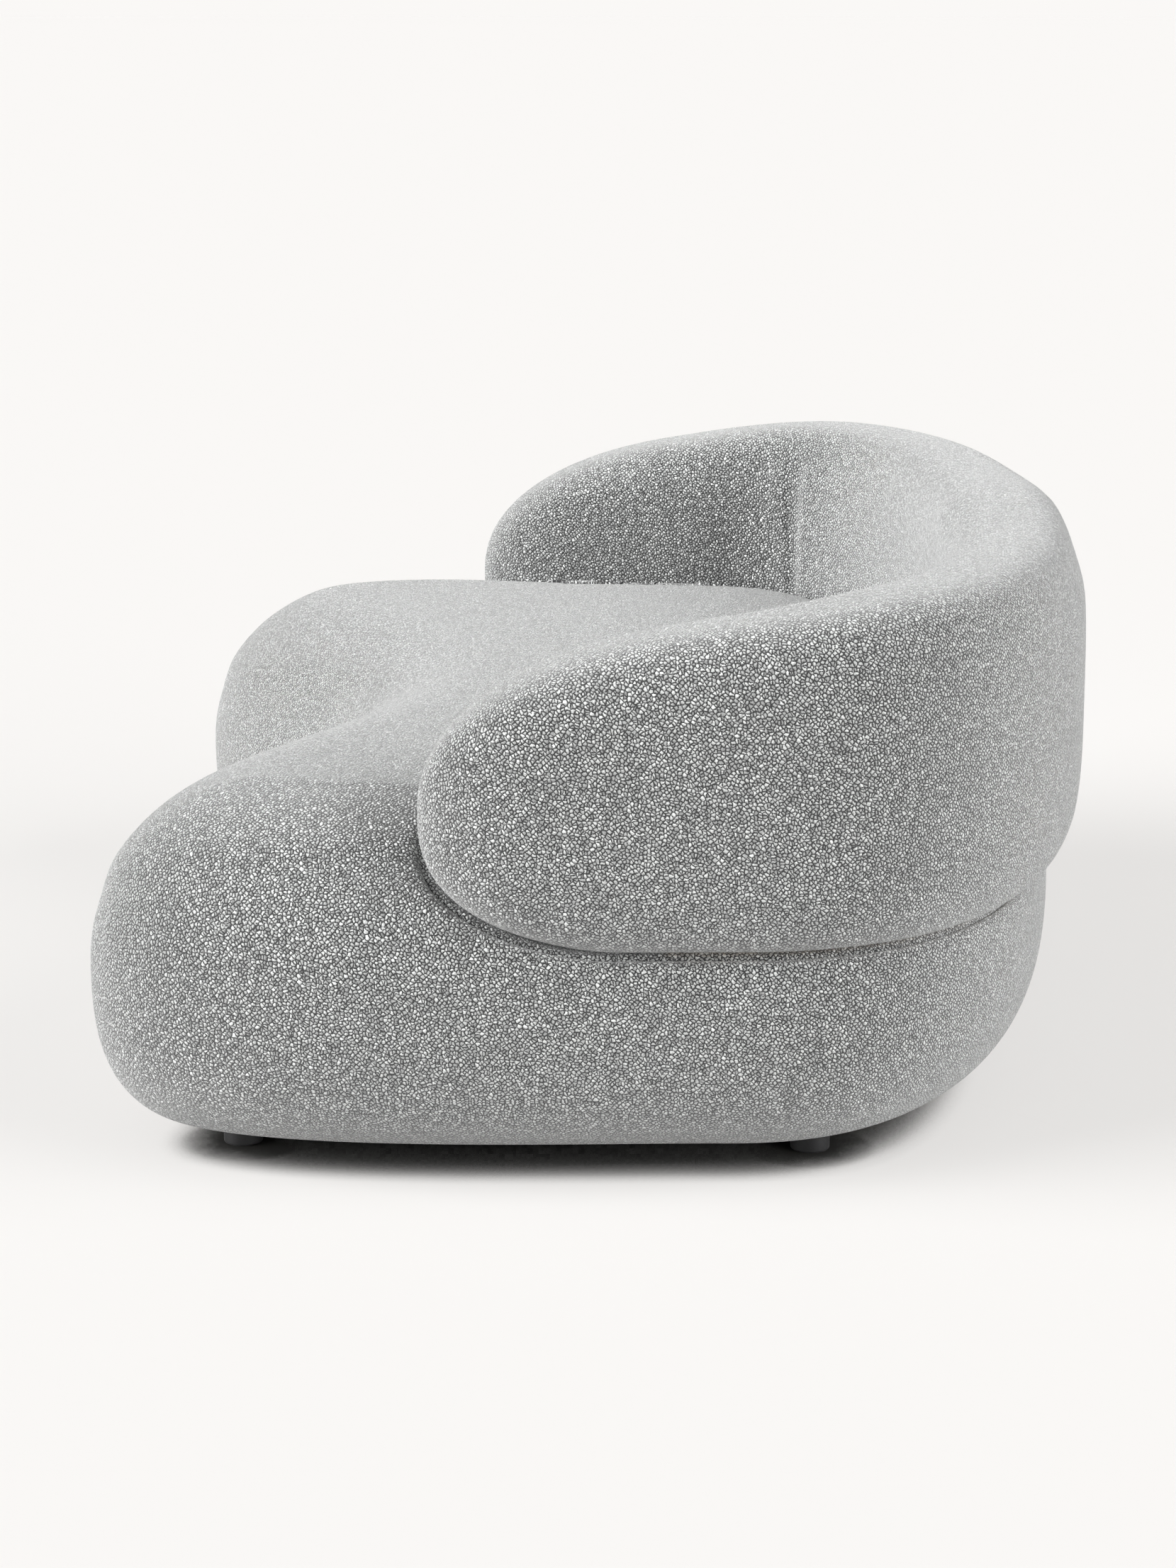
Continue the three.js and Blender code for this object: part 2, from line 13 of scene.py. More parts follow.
import bmesh
import bpy
import numpy as np
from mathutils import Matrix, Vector

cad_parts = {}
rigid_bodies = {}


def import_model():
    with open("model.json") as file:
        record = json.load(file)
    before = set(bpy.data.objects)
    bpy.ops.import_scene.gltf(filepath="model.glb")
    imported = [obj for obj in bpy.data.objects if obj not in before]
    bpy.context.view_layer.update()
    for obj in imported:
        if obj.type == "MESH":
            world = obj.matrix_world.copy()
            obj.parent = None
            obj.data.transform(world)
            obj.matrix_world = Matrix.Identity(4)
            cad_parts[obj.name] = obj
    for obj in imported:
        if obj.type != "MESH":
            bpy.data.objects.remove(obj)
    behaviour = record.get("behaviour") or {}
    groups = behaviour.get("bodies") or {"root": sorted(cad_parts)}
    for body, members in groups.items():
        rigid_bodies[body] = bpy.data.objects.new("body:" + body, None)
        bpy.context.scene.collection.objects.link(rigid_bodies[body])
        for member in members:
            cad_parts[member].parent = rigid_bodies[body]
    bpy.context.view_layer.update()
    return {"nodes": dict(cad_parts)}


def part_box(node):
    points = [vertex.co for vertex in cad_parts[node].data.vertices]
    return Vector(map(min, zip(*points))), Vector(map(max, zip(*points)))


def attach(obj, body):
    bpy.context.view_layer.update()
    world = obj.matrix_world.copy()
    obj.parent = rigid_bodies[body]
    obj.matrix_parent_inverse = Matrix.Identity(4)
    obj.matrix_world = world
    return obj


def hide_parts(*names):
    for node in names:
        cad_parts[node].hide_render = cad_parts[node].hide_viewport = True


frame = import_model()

nodes = frame["nodes"]

# %% [markdown]
# The camera comes early, so that every test render shows the photograph's view. Its place was
# found by fitting the sofa's outlines: nearly square to the right arm, a little above the seat. A
# long lens keeps the two arms almost the same size. The sensor's 36 mm lie along the long side.

# %% Camera at the photograph's viewpoint
view_target = Vector((0.0, -0.029, 0.279))
view_distance = 4.653
view_yaw = math.radians(1.136)
view_pitch = math.radians(12.926)
view_lens = 84.65

forward = Vector((
    -math.cos(view_yaw) * math.cos(view_pitch),
    -math.sin(view_yaw) * math.cos(view_pitch),
    -math.sin(view_pitch),
))
camera = bpy.data.objects.new("camera", bpy.data.cameras.new("camera"))
bpy.context.scene.collection.objects.link(camera)
camera.data.lens = view_lens
camera.data.sensor_width = 36
camera.location = view_target - forward * view_distance
camera.rotation_mode = "QUATERNION"
camera.rotation_quaternion = forward.to_track_quat("-Z", "Y")
bpy.context.scene.camera = camera
bpy.context.scene.view_settings.view_transform = "Standard"
print("camera at", tuple(round(v, 3) for v in camera.location))

# %% [markdown]
# Sky, floor and finishes are all built from nodes. Short helpers place a node, feed it and pass
# its output on, so that each finish reads as a few steps.

# %% Node helpers
def new_finish(name):
    """A material with its nodes, and its principled shader."""
    finish = bpy.data.materials.new(name)
    finish.use_nodes = True
    return finish, finish.node_tree, finish.node_tree.nodes["Principled BSDF"]


def add_node(tree, kind, settings=None, values=None, links=None):
    """A node with its settings, its plain input values and its incoming links."""
    node = tree.nodes.new(kind)
    for key, value in (settings or {}).items():
        setattr(node, key, value)
    for key, value in (values or {}).items():
        node.inputs[key].default_value = value
    for key, source in (links or {}).items():
        tree.links.new(source, node.inputs[key])
    return node


def math_node(tree, operation, first, second=0.0):
    """A math node on sockets or numbers."""
    node = tree.nodes.new("ShaderNodeMath")
    node.operation = operation
    for socket, value in zip(node.inputs, (first, second)):
        if isinstance(value, (int, float)):
            socket.default_value = value
        else:
            tree.links.new(value, socket)
    return node.outputs[0]


def map_range(tree, value, low, high, to_low, to_high, smooth=True):
    """A value carried from one range to another."""
    node = add_node(tree, "ShaderNodeMapRange", {"interpolation_type": "SMOOTHSTEP" if smooth
                                                 else "LINEAR"})
    for key, number in zip(("From Min", "From Max", "To Min", "To Max"),
                           (low, high, to_low, to_high)):
        node.inputs[key].default_value = number
    tree.links.new(value, node.inputs["Value"])
    return node.outputs["Result"]


def mix_colors(tree, share, first, second):
    """A mix of two colours, each a socket or four numbers."""
    node = add_node(tree, "ShaderNodeMix", {"data_type": "RGBA"})
    tree.links.new(share, node.inputs[0])
    for socket, value in ((node.inputs[6], first), (node.inputs[7], second)):
        if isinstance(value, tuple):
            socket.default_value = value
        else:
            tree.links.new(value, socket)
    return node.outputs[2]


# %% [markdown]
# The studio is a pale floor under an even white sky. Two wide sun lamps stand low, one before the
# sofa, on the picture's left, and one behind it, on the right. They graze the broad near side,
# which is why it is the darkest one, and brighten the rims. Sun lamps are used because their
# light is the same everywhere, so the floor has one tone wherever the sofa does not shade it. A
# weak square lamp hangs over the seat. The camera sees the sky as plain off-white, and gloss and
# glass see that colour too.

# %% Light and sky
backdrop_color = (0.956, 0.939, 0.922, 1)
sky_color = (1, 0.995, 0.985, 1)
sky_strength = 0.30
seat_lamp_place = Vector((0.80, -0.75, 1.95))
seat_lamp_target = Vector((-0.35, 0.15, 0.45))


def add_sun(name, towards, strength, spread_degrees):
    """A lamp with parallel rays that travel towards a direction, softened by its spread."""
    lamp = bpy.data.lights.new(name, "SUN")
    lamp.energy = strength
    lamp.angle = math.radians(spread_degrees)
    holder = bpy.data.objects.new(name, lamp)
    holder.rotation_mode = "QUATERNION"
    holder.rotation_quaternion = Vector(towards).to_track_quat("-Z", "Y")
    bpy.context.scene.collection.objects.link(holder)


add_sun("key_light", (-0.28, 0.88, -0.38), 4.7, 45)
add_sun("rear_light", (-0.38, -0.89, -0.25), 4.2, 60)

seat_lamp = bpy.data.lights.new("seat_light", "AREA")
seat_lamp.shape = "SQUARE"
seat_lamp.size = 1.5
seat_lamp.energy = 1.5
seat_lamp.spread = math.radians(50)
seat_light = bpy.data.objects.new("seat_light", seat_lamp)
seat_light.location = seat_lamp_place
seat_light.rotation_mode = "QUATERNION"
seat_light.rotation_quaternion = (seat_lamp_target - seat_lamp_place).to_track_quat("-Z", "Y")
seat_light.visible_camera = False
bpy.context.scene.collection.objects.link(seat_light)

world = bpy.data.worlds.new("studio")
bpy.context.scene.world = world
world.use_nodes = True
sky = world.node_tree
sky.nodes.clear()
sky_rays = add_node(sky, "ShaderNodeLightPath").outputs
seen_or_gloss = math_node(sky, "MAXIMUM", sky_rays["Is Camera Ray"], sky_rays["Is Glossy Ray"])
seen_by_any = math_node(sky, "MAXIMUM", seen_or_gloss, sky_rays["Is Transmission Ray"])
sky_light = add_node(sky, "ShaderNodeBackground", {},
                     {"Color": sky_color, "Strength": sky_strength})
sky_seen = add_node(sky, "ShaderNodeBackground", {}, {"Color": backdrop_color})
sky_mix = add_node(sky, "ShaderNodeMixShader", {}, {},
                   {"Fac": seen_by_any, 1: sky_light.outputs[0], 2: sky_seen.outputs[0]})
add_node(sky, "ShaderNodeOutputWorld", {}, {}, {"Surface": sky_mix.outputs[0]})

# %% [markdown]
# Shapes are arrays of points. One helper makes an object from points and faces. Its normals are
# recalculated, so faces point outwards however the grid was wound. Two more read a mesh's points
# and put them back.

# %% Mesh helpers
def add_piece(name, points, faces):
    """An object at the origin whose mesh has these points (rows of x, y, z) and faces."""
    mesh = bpy.data.meshes.new(name)
    mesh.from_pydata(np.asarray(points).tolist(), [], faces)
    shape = bmesh.new()
    shape.from_mesh(mesh)
    bmesh.ops.recalc_face_normals(shape, faces=shape.faces)
    shape.to_mesh(mesh)
    shape.free()
    piece = bpy.data.objects.new(name, mesh)
    bpy.context.scene.collection.objects.link(piece)
    return piece


def read_points(mesh):
    """The mesh's vertices as an array of rows."""
    points = np.zeros(len(mesh.vertices) * 3)
    mesh.vertices.foreach_get("co", points)
    return points.reshape(-1, 3)


def write_points(mesh, points):
    """Puts rows of x, y, z back into the mesh."""
    mesh.vertices.foreach_set("co", np.asarray(points, dtype=np.float32).ravel())
    mesh.update()


# %% [markdown]
# The floor is one wide square. What the camera sees of it is part diffuse, so that it catches the
# sofa's shadow, and part an even glow in the backdrop's colour, so that the shadow stays pale.
# Close under the sofa both give way to near black, a painted shade: ambient occlusion measures how
# open the place is and darkens the floor's colour with it. All other rays meet a darker floor,
# which throws less light up at the sofa's underside.

# %% Floor with its contact shadow
floor_color = (0.770, 0.758, 0.745, 1)
bounce_color = (0.52, 0.512, 0.505, 1)
painted_contact_shade = (0.045, 0.044, 0.042, 1)
floor_reach = 60.0
floor_shadow_lift = 0.60
contact_reach = 0.055
closed_share = 0.34
open_share = 0.66

floor = add_piece("floor", [(x * floor_reach, y * floor_reach, 0) for x, y in
                            ((-1, -1), (1, -1), (1, 1), (-1, 1))], [(0, 1, 2, 3)])
floor_finish, tree, _ = new_finish("studio_floor")
tree.nodes.clear()
# Painted contact shade: the floor's colour goes to near black where the sofa is close above.
near = add_node(tree, "ShaderNodeAmbientOcclusion", {"samples": 16}, {"Distance": contact_reach})
openness = map_range(tree, near.outputs["AO"], closed_share, open_share, 0.0, 1.0)
floor_seen = add_node(tree, "ShaderNodeBsdfDiffuse", {}, {},
                      {"Color": mix_colors(tree, openness, painted_contact_shade, floor_color)})
floor_white = add_node(tree, "ShaderNodeEmission", {}, {"Color": backdrop_color})
floor_lifted = add_node(tree, "ShaderNodeMixShader", {}, {},
                        {"Fac": math_node(tree, "MULTIPLY", openness, floor_shadow_lift),
                         1: floor_seen.outputs[0], 2: floor_white.outputs[0]})
floor_bounce = add_node(tree, "ShaderNodeBsdfDiffuse", {}, {"Color": bounce_color})
floor_mix = add_node(tree, "ShaderNodeMixShader", {}, {},
                     {"Fac": add_node(tree, "ShaderNodeLightPath").outputs["Is Camera Ray"],
                      1: floor_bounce.outputs[0], 2: floor_lifted.outputs[0]})
add_node(tree, "ShaderNodeOutputMaterial", {}, {}, {"Surface": floor_mix.outputs[0]})
floor.data.materials.append(floor_finish)
print("floor:", 2 * floor_reach, "m wide")

# %% [markdown]
# Seen from above, the seat base is a kidney: round at the rear and flanks, with two lobes in
# front and a hollow between them. One half is three Bezier curves that share their tangents, and
# the other half is its mirror image. Points are then spread evenly along the whole outline, so
# that the cloth gets squares of one size.

# %% Outline of the seat base
seat_low, seat_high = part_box("seat_cover")
rear_y = seat_high.y
front_y = seat_low.y
flank_x = 0.800
flank_y = front_y + 0.711
lobe_x = 0.589
hollow_y = front_y + 0.200
half_curves = np.array([
    [(0, rear_y), (0.390, rear_y), (flank_x, flank_y + 0.324), (flank_x, flank_y)],
    [(flank_x, flank_y), (flank_x, flank_y - 0.179), (lobe_x + 0.289, front_y), (lobe_x, front_y)],
    [(lobe_x, front_y), (lobe_x - 0.207, front_y), (0.200, hollow_y), (0, hollow_y)],
])
outline_count = 240
outline_samples = 600


def half_outline(steps):
    """Points and inward directions down the right half, by the Bezier weights (1-t)^3,
    3t(1-t)^2, 3t^2(1-t) and t^3 and their slopes."""
    t = np.linspace(0, 1, steps)[:, None]
    weights = np.hstack([(1 - t) ** 3, 3 * t * (1 - t) ** 2, 3 * t ** 2 * (1 - t), t ** 3])
    slopes = np.hstack([(1 - t) ** 2, 2 * t * (1 - t), t ** 2])
    points = np.vstack([weights @ curve for curve in half_curves])
    along = np.vstack([slopes @ np.diff(curve, axis=0) for curve in half_curves])
    along /= np.linalg.norm(along, axis=1)[:, None]
    return points, np.stack([along[:, 1], -along[:, 0]], axis=1)


def lengths_along(points):
    """How far along the line each point lies."""
    steps = np.linalg.norm(np.diff(points, axis=0), axis=1)
    return np.concatenate([[0], np.cumsum(steps)])


half_points, half_inward = half_outline(outline_samples)
half_lengths = lengths_along(half_points)
even = np.linspace(0, half_lengths[-1], outline_count // 2 + 1)


def resample(columns, at):
    """Columns given along the half outline, read at other lengths."""
    return np.stack([np.interp(at, half_lengths, column) for column in columns.T], axis=1)


right_points = resample(half_points, even)
right_inward = resample(half_inward, even)
mirror = np.array([-1, 1])
ring_points = np.vstack([right_points, right_points[-2:0:-1] * mirror])
ring_inward = np.vstack([right_inward, right_inward[-2:0:-1] * mirror])
ring_inward /= np.linalg.norm(ring_inward, axis=1)[:, None]
print("outline length: %.3f m" % (2 * half_lengths[-1]))

# %% [markdown]
# The base's side is a rounded corner under its widest line and another over it. A superellipse
# quarter gives each: how far a point has drawn in and how far it has risen, as shares. On the
# front lobes the widest line lies lower, the undercut is smaller and the shoulder is longer.
# Points move in square to the outline first, and past the hollow's radius towards the sofa's long
# middle line, so that they never cross.

# %% Seat base as rings from the lip underneath to the edge of the seat
base_bottom = seat_low.z
seat_height = 0.425
seat_crown = 0.005
undercut_exponent = 2.8
shoulder_exponent = 2.0
straight_inset = 0.145
spine_reach = 0.528
spine_y = (rear_y + hollow_y) / 2
lip_width = 0.020
undercut_rings = 26
shoulder_rings = 24
usual_reach = 0.18
usual_rise = 0.20
corner_samples = 2000
right_angle = math.pi / 2 - 1e-9
front_share = (1 + ring_inward[:, 1]) / 2
facing_front = front_share ** 2
widest_height = 0.234 - 0.016 * facing_front
undercut_reach = 0.181 - 0.016 * facing_front
shoulder_reach = 0.150 + 0.055 * front_share + 0.014 * facing_front
lip_inset = undercut_reach + lip_width


def draw_in(depth):
    """The outline's points moved in by a depth: along the inward direction up to the straight
    inset, and from there towards the nearest point of the middle line."""
    depth = np.broadcast_to(depth, len(ring_points))
    straight = np.minimum(depth, straight_inset)[:, None]
    moved = ring_points + ring_inward * straight
    middle = np.stack([np.clip(moved[:, 0], -spine_reach, spine_reach),
                       np.full(len(moved), spine_y)], axis=1)
    towards = middle - moved
    towards /= np.linalg.norm(towards, axis=1)[:, None]
    return moved + towards * (depth[:, None] - straight)


def at_height(points, z):
    """Level points given a height."""
    return np.column_stack([points, np.broadcast_to(z, len(points))])


def corner_shares(turn, exponent):
    """Superellipse quarter: drawn in 1 - cos^(2/n), risen sin^(2/n)."""
    return 1 - np.cos(turn) ** (2 / exponent), np.sin(turn) ** (2 / exponent)


def even_turns(exponent, reach, rise, count):
    """Angles that space points evenly along a superellipse quarter of that reach and rise."""
    fine = np.linspace(0, math.pi / 2, corner_samples)
    drawn, risen = corner_shares(np.minimum(fine, right_angle), exponent)
    lengths = lengths_along(np.column_stack([drawn * reach, risen * rise]))
    return np.interp(np.linspace(0, lengths[-1], count), lengths, fine)


def base_rings():
    """Rings of the base from the lip to the edge of the seat's flat."""
    rings = [at_height(draw_in(lip_inset), base_bottom),
             at_height(draw_in((lip_inset + undercut_reach) / 2), base_bottom)]
    for turn in even_turns(undercut_exponent, usual_reach, usual_rise, undercut_rings)[::-1]:
        drawn, risen = corner_shares(min(turn, right_angle), undercut_exponent)
        rings.append(at_height(draw_in(undercut_reach * drawn),
                               widest_height - (widest_height - base_bottom) * risen))
    for turn in even_turns(shoulder_exponent, usual_reach, usual_rise, shoulder_rings)[1:]:
        drawn, risen = corner_shares(min(turn, right_angle), shoulder_exponent)
        rings.append(at_height(draw_in(shoulder_reach * drawn),
                               widest_height + (seat_height - widest_height) * risen))
    return np.array(rings)


# %% [markdown]
# A ring is closed by a grid, not by a fan: each point of the rear half is joined to its partner
# on the front half by a row of points. The squares stay even, which the simulation needs. The two
# rows at the flanks shrink to a point each. The seat is crowned: it rises from its edge inwards.

# %% Close a ring with a grid of even squares
crown_reach = 0.35
seat_columns = 44
under_columns = 8


def strip_faces(rows, count):
    """Quads between rings of equal count that follow each other, each ring closed on itself."""
    row, place = np.meshgrid(np.arange(rows - 1), np.arange(count), indexing="ij")
    near = row * count + place
    far = row * count + (place + 1) % count
    return np.stack([near, far, far + count, near + count], axis=-1).reshape(-1, 4).tolist()


def fill_ring(ring, first_ring_index, first_new_index, columns, rise):
    """New points and faces over a ring. The height gained is rise * sin(90 deg * d / reach)^2,
    where d is the level distance from the ring, up to that reach."""
    count = len(ring)
    half, quarter = count // 2, count // 4
    rear = np.arange(-quarter, quarter + 1)
    front = half - rear
    share = np.linspace(0, 1, columns + 1)[None, :, None]
    start, end = ring[rear % count][:, None, :], ring[front % count][:, None, :]
    grid = start + (end - start) * share
    level = grid[:, :, None, :2] - ring[None, None, :, :2]
    inside = np.sqrt((level ** 2).sum(axis=3).min(axis=2))
    grid[:, :, 2] += rise * np.sin(math.pi / 2 * np.minimum(inside / crown_reach, 1)) ** 2
    ids = np.zeros((half + 1, columns + 1), int)
    inner = grid[1:-1, 1:-1].reshape(-1, 3)
    ids[1:-1, 1:-1] = first_new_index + np.arange(len(inner)).reshape(half - 1, columns - 1)
    ids[:, 0] = first_ring_index + rear % count
    ids[:, -1] = first_ring_index + front % count
    ids[0, :] = first_ring_index + rear[0] % count
    ids[-1, :] = first_ring_index + rear[-1] % count
    quads = np.stack([ids[1:-2, :-1], ids[1:-2, 1:], ids[2:-1, 1:], ids[2:-1, :-1]], axis=-1)
    left = np.stack([ids[0, :-1], ids[1, 1:], ids[1, :-1]], axis=-1)
    right = np.stack([ids[-1, :-1], ids[-2, :-1], ids[-2, 1:]], axis=-1)
    return inner, quads.reshape(-1, 4).tolist() + left.tolist() + right.tolist()


rings = base_rings()
base_points = rings.reshape(-1, 3)
base_faces = strip_faces(len(rings), outline_count)
seat_points, seat_faces = fill_ring(rings[-1], (len(rings) - 1) * outline_count,
                                    len(base_points), seat_columns, seat_crown)
base_points = np.vstack([base_points, seat_points])
under_points, under_faces = fill_ring(rings[0], 0, len(base_points), under_columns, 0.0)
base_points = np.vstack([base_points, under_points])
seat_piece = add_piece("seat_upholstery", base_points, base_faces + seat_faces + under_faces)
print("seat base:", len(base_points), "points")

# %% [markdown]
# The back band is a tall rounded section carried round the base. Its path is the outline drawn
# in by half the band's thickness less its overhang. Along the path the top falls towards the
# arms, with a slight dip on each side of the middle and a slight rise at the rear corners. Near
# each arm end height and thickness close to a point as on an egg. The section is a superellipse,
# almost a rounded rectangle. Its underside is cut flat where it sits on the ledge.

# %% Path of the back band
band_low, band_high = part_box("back_cover")
band_thickness = 0.172
band_overhang = band_high.y - rear_y
band_inset = band_thickness / 2 - band_overhang
band_floor = 0.270
ledge_height = band_low.z
back_height = band_high.z
arm_tip_height = 0.571
arm_tip_y = front_y + 0.375
arm_end_reach = 0.298
arm_nose_reach = 0.129
band_exponent = 4.0
corner_rise = 0.008
corner_place = 0.77
corner_width = 0.15
back_dip = 0.010
dip_place = 0.27
dip_width = 0.22
arm_end_exponent = 2.44
top_fall_exponent = 3.0

path_points = half_points + half_inward * band_inset
path_lengths = lengths_along(path_points)
past_tip = int(np.argmax(path_points[:, 1] < arm_tip_y))
arm_length = float(np.interp(arm_tip_y, path_points[past_tip - 1:past_tip + 1, 1][::-1],
                             path_lengths[past_tip - 1:past_tip + 1][::-1]))
print("band path: %.3f m from tip to tip" % (2 * arm_length))


def path_at(distance):
    """Point and inward direction at signed distances from the rear centre."""
    reach = np.abs(distance)
    side = np.where(distance < 0, -1.0, 1.0)
    point = np.stack([np.interp(reach, path_lengths, column) for column in path_points.T], axis=1)
    inward = np.stack([np.interp(reach, path_lengths, column) for column in half_inward.T], axis=1)
    inward /= np.linalg.norm(inward, axis=1)[:, None]
    flip = np.stack([side, np.ones_like(side)], axis=1)
    return point * flip, inward * flip


# %% Back band as rings from arm tip to arm tip
band_middle_count = 170
band_end_count = 30
band_around = 60
section_samples = 8001


def signed_power(value, power):
    """The power of the value's size, with the value's own sign."""
    return np.sign(value) * np.abs(value) ** power


def section_turns(count):
    """Angles that space points evenly round the band's section in the middle of the back."""
    fine = np.linspace(0, 2 * math.pi, section_samples)
    across = signed_power(np.cos(fine), 2 / band_exponent) * band_thickness / 2
    up = signed_power(np.sin(fine), 2 / band_exponent) * (back_height - band_floor) / 2
    lengths = lengths_along(np.column_stack([across, up]))
    return np.interp(np.linspace(0, lengths[-1], count, endpoint=False), lengths, fine)


def station_distances():
    """Even distances along the back, then closer ones over each arm's end, where
    1 - u = cos(turn)^(2/p) keeps the rings evenly spaced round the egg shape."""
    middle = np.linspace(0, arm_length - arm_end_reach, band_middle_count // 2 + 1)
    turns = np.linspace(math.pi / 2, 0, band_end_count + 1)[1:-1]
    ends = arm_length - arm_end_reach * (1 - np.cos(turns) ** (2 / arm_end_exponent))
    right = np.concatenate([middle, ends])
    return np.concatenate([-right[:0:-1], right])


def band_surface():
    """Rings of the band. Half height is full times (1 - (1 - u)^p)^(1/p) and half thickness
    full times sqrt(1 - (1 - v)^2), where u and v run from 0 at the tip to 1 where full. The top
    gains and loses height * exp(-((d - place) / width)^2) at its rises and dips."""
    distance = station_distances()
    reach = np.abs(distance)
    point, inward = path_at(distance)
    top = back_height + (arm_tip_height - back_height) * (reach / arm_length) ** top_fall_exponent
    top += corner_rise * np.exp(-((reach - corner_place) / corner_width) ** 2)
    top -= back_dip * np.exp(-((reach - dip_place) / dip_width) ** 2)
    u = np.minimum((arm_length - reach) / arm_end_reach, 1)
    v = np.minimum((arm_length - reach) / arm_nose_reach, 1)
    half_high = (top - band_floor) / 2 * (1 - (1 - u) ** arm_end_exponent) ** (
        1 / arm_end_exponent)
    half_thick = band_thickness / 2 * np.sqrt(1 - (1 - v) ** 2)
    theta = section_turns(band_around)
    across = signed_power(np.cos(theta), 2 / band_exponent)[None, :]
    up = signed_power(np.sin(theta), 2 / band_exponent)[None, :]
    level = point[:, None, :] + inward[:, None, :] * (half_thick[:, None] * across)[:, :, None]
    height = ((top + band_floor) / 2)[:, None] + half_high[:, None] * up
    height = np.maximum(height, ledge_height)
    return np.concatenate([level, height[:, :, None]], axis=2)


surface = band_surface()
band_points = surface.reshape(-1, 3)
band_faces = strip_faces(len(surface), band_around)
end_points = np.array([surface[0].mean(axis=0), surface[-1].mean(axis=0)])
place = np.arange(band_around)
following = (place + 1) % band_around
last = (len(surface) - 1) * band_around
first_fan = np.stack([np.full(band_around, len(band_points)), following, place], axis=1)
last_fan = np.stack([np.full(band_around, len(band_points) + 1), last + place,
                     last + following], axis=1)
back_piece = add_piece("back_upholstery", np.vstack([band_points, end_points]),
                       band_faces + first_fan.tolist() + last_fan.tolist())
print("back band:", len(back_piece.data.vertices), "points")

# %% [markdown]
# Upholstery is never exactly its drawing. The cover is sewn a little small and the foam presses
# it out, so the cloth ends up tight and faintly uneven. Cloth simulation with pressure and no
# gravity does that here. Each piece starts slightly smaller, what sits under it stays pinned, and
# afterwards no point may lie further than a few millimetres from the drawn form.

# %% Pull the covers tight with cloth simulation
sim_frames = 20
sim_pressure = 4.0
start_smaller = 0.003
most_out = 0.0045
most_in = 0.001
most_along = 0.002
cloth_stiffness = 60
cloth_bending = 6
held_slack = 0.001


def bake(piece):
    """Puts the result of the piece's modifiers into its mesh."""
    graph = bpy.context.evaluated_depsgraph_get()
    result = bpy.data.meshes.new_from_object(piece.evaluated_get(graph))
    piece.modifiers.clear()
    piece.data = result


def read_normals(mesh):
    """The mesh's vertex normals as an array of rows."""
    normals = np.zeros(len(mesh.vertices) * 3, dtype=np.float32)
    mesh.vertices.foreach_get("normal", normals)
    return normals.reshape(-1, 3).astype(float)


def pull_tight(piece, held):
    """Swells the piece as cloth under pressure. held marks the points that stay put."""
    scene = bpy.context.scene
    drawn = read_points(piece.data)
    drawn_normals = read_normals(piece.data)
    smaller = drawn - drawn_normals * start_smaller * (1 - held)[:, None]
    write_points(piece.data, smaller)
    pins = piece.vertex_groups.new(name="held")
    pins.add(np.flatnonzero(held > 0).tolist(), 1.0, "REPLACE")
    cloth = piece.modifiers.new("cloth", "CLOTH")
    cloth.settings.use_pressure = True
    cloth.settings.uniform_pressure_force = sim_pressure
    cloth.settings.effector_weights.gravity = 0
    cloth.settings.vertex_group_mass = "held"
    cloth.settings.tension_stiffness = cloth_stiffness
    cloth.settings.compression_stiffness = cloth_stiffness
    cloth.settings.bending_stiffness = cloth_bending
    cloth.collision_settings.use_collision = False
    cloth.point_cache.frame_end = sim_frames
    for step in range(1, sim_frames + 1):
        scene.frame_set(step)
    graph = bpy.context.evaluated_depsgraph_get()
    swollen = read_points(piece.evaluated_get(graph).data)
    piece.modifiers.clear()
    piece.vertex_groups.clear()
    scene.frame_set(1)
    moved = swollen - drawn
    out = np.sum(moved * drawn_normals, axis=1)
    along = moved - drawn_normals * out[:, None]
    slid = np.linalg.norm(along, axis=1)
    along *= np.minimum(1, most_along / np.maximum(slid, 1e-9))[:, None]
    kept = np.clip(out, -most_in, most_out)
    write_points(piece.data, drawn + drawn_normals * kept[:, None] + along)
    print(piece.name, "moved out by %.1f to %.1f mm before the cap, %.1f mm on average after it"
          % (out.min() * 1000, out.max() * 1000, kept.mean() * 1000))


seat_held = (read_points(seat_piece.data)[:, 2] < base_bottom + held_slack).astype(float)
back_held = (read_points(back_piece.data)[:, 2] < ledge_height + held_slack).astype(float)
pull_tight(seat_piece, seat_held)
pull_tight(back_piece, back_held)

for piece in (seat_piece, back_piece):
    finer = piece.modifiers.new("finer", "SUBSURF")
    finer.levels = 1
    finer.render_levels = 1
    bake(piece)
    print(piece.name, len(piece.data.polygons), "faces after one subdivision")

# %% [markdown]
# The band sits in a pocket of the base: a level ledge under it and a wall behind the seat. The
# pocket is cut with the band itself, grown by a millimetre, so the crease follows the band all the
# way round the arm's nose. Under the sofa the cover only turns in by a lip that is stapled to the
# frame, so the middle of the bottom goes, and the cloth gets its thickness inwards.

# %% Pocket for the band, open bottom and thickness
pocket_gap = 0.001
cover_thickness = 0.004
facing_down = -0.99
bottom_slack = 0.002
lip_edge = 0.001

cutter = bpy.data.objects.new("cutter", back_piece.data.copy())
bpy.context.scene.collection.objects.link(cutter)
write_points(cutter.data, read_points(cutter.data) + read_normals(cutter.data) * pocket_gap)
pocket = seat_piece.modifiers.new("pocket", "BOOLEAN")
pocket.operation = "DIFFERENCE"
pocket.solver = "MANIFOLD"
pocket.object = cutter
bpy.context.view_layer.update()
bake(seat_piece)
bpy.data.objects.remove(cutter)
print("seat cover with its pocket:", len(seat_piece.data.polygons), "faces")


